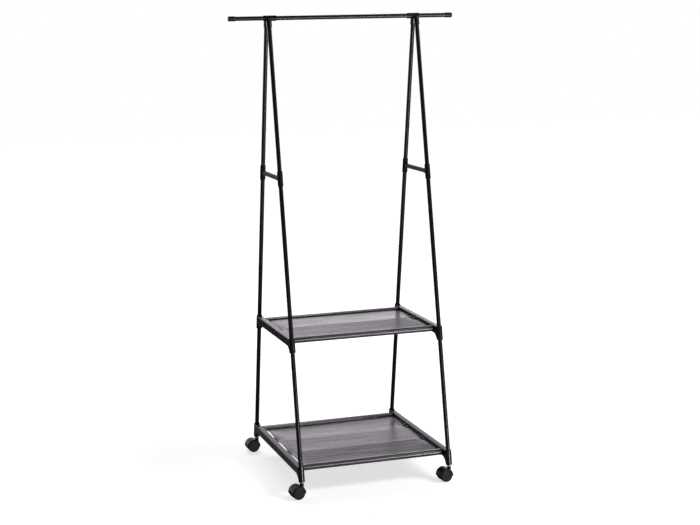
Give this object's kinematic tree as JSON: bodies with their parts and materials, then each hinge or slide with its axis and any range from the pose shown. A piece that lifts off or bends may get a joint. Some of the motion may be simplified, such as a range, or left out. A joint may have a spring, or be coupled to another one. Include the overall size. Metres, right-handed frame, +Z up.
{
  "type": "rolling clothes rack",
  "caption": "Rolling clothes rack: a hanging rail on two A-shaped tube side frames, with two cloth shelves on plastic side beams and twin-wheel swivel casters.",
  "frame": {"origin": "on the floor, midway between the two side frames and midway between front and rear", "axes": "+X along the hanging rail to the right, +Y to the rear, +Z up"},
  "size_m": [0.812, 0.6362, 1.6096],
  "materials": {
    "black_tube": "satin black powder coat",
    "black_moulding": "fine matt moulded black",
    "grey_cloth": "dark grey non-woven cloth with a soft sheen",
    "caster_hood": "matt black",
    "caster_wheel": "satin black",
    "bright_steel": "zinc plated"
  },
  "bodies": {
    "rack": {"hanging_rail": "black_tube", "rail_cap_left": "black_moulding", "rail_cap_right": "black_moulding", "head_connector_left": "black_moulding", "head_connector_right": "black_moulding", "upper_leg_front_left": "black_tube", "upper_leg_front_right": "black_tube", "upper_leg_rear_left": "black_tube", "upper_leg_rear_right": "black_tube", "middle_leg_front_left": "black_tube", "middle_leg_front_right": "black_tube", "middle_leg_rear_left": "black_tube", "middle_leg_rear_right": "black_tube", "lower_leg_front_left": "black_tube", "lower_leg_front_right": "black_tube", "lower_leg_rear_left": "black_tube", "lower_leg_rear_right": "black_tube", "leg_tie_left": "black_moulding", "leg_tie_right": "black_moulding", "middle_side_frame_left": "black_moulding", "middle_side_frame_right": "black_moulding", "bottom_side_frame_left": "black_moulding", "bottom_side_frame_right": "black_moulding", "middle_shelf_rail_front": "black_tube", "middle_shelf_rail_rear": "black_tube", "bottom_shelf_rail_front": "black_tube", "bottom_shelf_rail_rear": "black_tube", "middle_shelf_cloth": "grey_cloth", "bottom_shelf_cloth": "grey_cloth", "caster_left_front_stem": "bright_steel", "caster_right_front_stem": "bright_steel", "caster_left_rear_stem": "bright_steel", "caster_right_rear_stem": "bright_steel"},
    "caster_left_front": {"caster_left_front_hood": "caster_hood", "caster_left_front_axle": "bright_steel"},
    "wheel_left_front_front": {"caster_left_front_wheel_front": "caster_wheel"},
    "wheel_left_front_rear": {"caster_left_front_wheel_rear": "caster_wheel"},
    "caster_right_front": {"caster_right_front_hood": "caster_hood", "caster_right_front_axle": "bright_steel"},
    "wheel_right_front_front": {"caster_right_front_wheel_front": "caster_wheel"},
    "wheel_right_front_rear": {"caster_right_front_wheel_rear": "caster_wheel"},
    "caster_left_rear": {"caster_left_rear_hood": "caster_hood", "caster_left_rear_axle": "bright_steel"},
    "wheel_left_rear_front": {"caster_left_rear_wheel_front": "caster_wheel"},
    "wheel_left_rear_rear": {"caster_left_rear_wheel_rear": "caster_wheel"},
    "caster_right_rear": {"caster_right_rear_hood": "caster_hood", "caster_right_rear_axle": "bright_steel"},
    "wheel_right_rear_front": {"caster_right_rear_wheel_front": "caster_wheel"},
    "wheel_right_rear_rear": {"caster_right_rear_wheel_rear": "caster_wheel"}
  },
  "joints": [
    {"name": "swivel_left_front", "type": "hinge", "parent": "rack", "child": "caster_left_front", "pos_m": [-0.267, -0.29336, 0.05], "axis": [0, 0, 1], "continuous": true},
    {"name": "spin_left_front_front", "type": "hinge", "parent": "caster_left_front", "child": "wheel_left_front_front", "pos_m": [-0.28387, -0.29543, 0.022], "axis": [-0.1219, 0.9925, 0], "continuous": true},
    {"name": "spin_left_front_rear", "type": "hinge", "parent": "caster_left_front", "child": "wheel_left_front_rear", "pos_m": [-0.28387, -0.29543, 0.022], "axis": [-0.1219, 0.9925, 0], "continuous": true},
    {"name": "swivel_right_front", "type": "hinge", "parent": "rack", "child": "caster_right_front", "pos_m": [0.267, -0.29336, 0.05], "axis": [0, 0, 1], "continuous": true},
    {"name": "spin_right_front_front", "type": "hinge", "parent": "caster_right_front", "child": "wheel_right_front_front", "pos_m": [0.25002, -0.29425, 0.022], "axis": [-0.0523, 0.9986, 0], "continuous": true},
    {"name": "spin_right_front_rear", "type": "hinge", "parent": "caster_right_front", "child": "wheel_right_front_rear", "pos_m": [0.25002, -0.29425, 0.022], "axis": [-0.0523, 0.9986, 0], "continuous": true},
    {"name": "swivel_left_rear", "type": "hinge", "parent": "rack", "child": "caster_left_rear", "pos_m": [-0.267, 0.29336, 0.05], "axis": [0, 0, 1], "continuous": true},
    {"name": "spin_left_rear_front", "type": "hinge", "parent": "caster_left_rear", "child": "wheel_left_rear_front", "pos_m": [-0.28399, 0.29276, 0.022], "axis": [-0.0349, 0.9994, 0], "continuous": true},
    {"name": "spin_left_rear_rear", "type": "hinge", "parent": "caster_left_rear", "child": "wheel_left_rear_rear", "pos_m": [-0.28399, 0.29276, 0.022], "axis": [-0.0349, 0.9994, 0], "continuous": true},
    {"name": "swivel_right_rear", "type": "hinge", "parent": "rack", "child": "caster_right_rear", "pos_m": [0.267, 0.29336, 0.05], "axis": [0, 0, 1], "continuous": true},
    {"name": "spin_right_rear_front", "type": "hinge", "parent": "caster_right_rear", "child": "wheel_right_rear_front", "pos_m": [0.25013, 0.29543, 0.022], "axis": [0.1219, 0.9925, 0], "continuous": true},
    {"name": "spin_right_rear_rear", "type": "hinge", "parent": "caster_right_rear", "child": "wheel_right_rear_rear", "pos_m": [0.25013, 0.29543, 0.022], "axis": [0.1219, 0.9925, 0], "continuous": true}
  ]
}
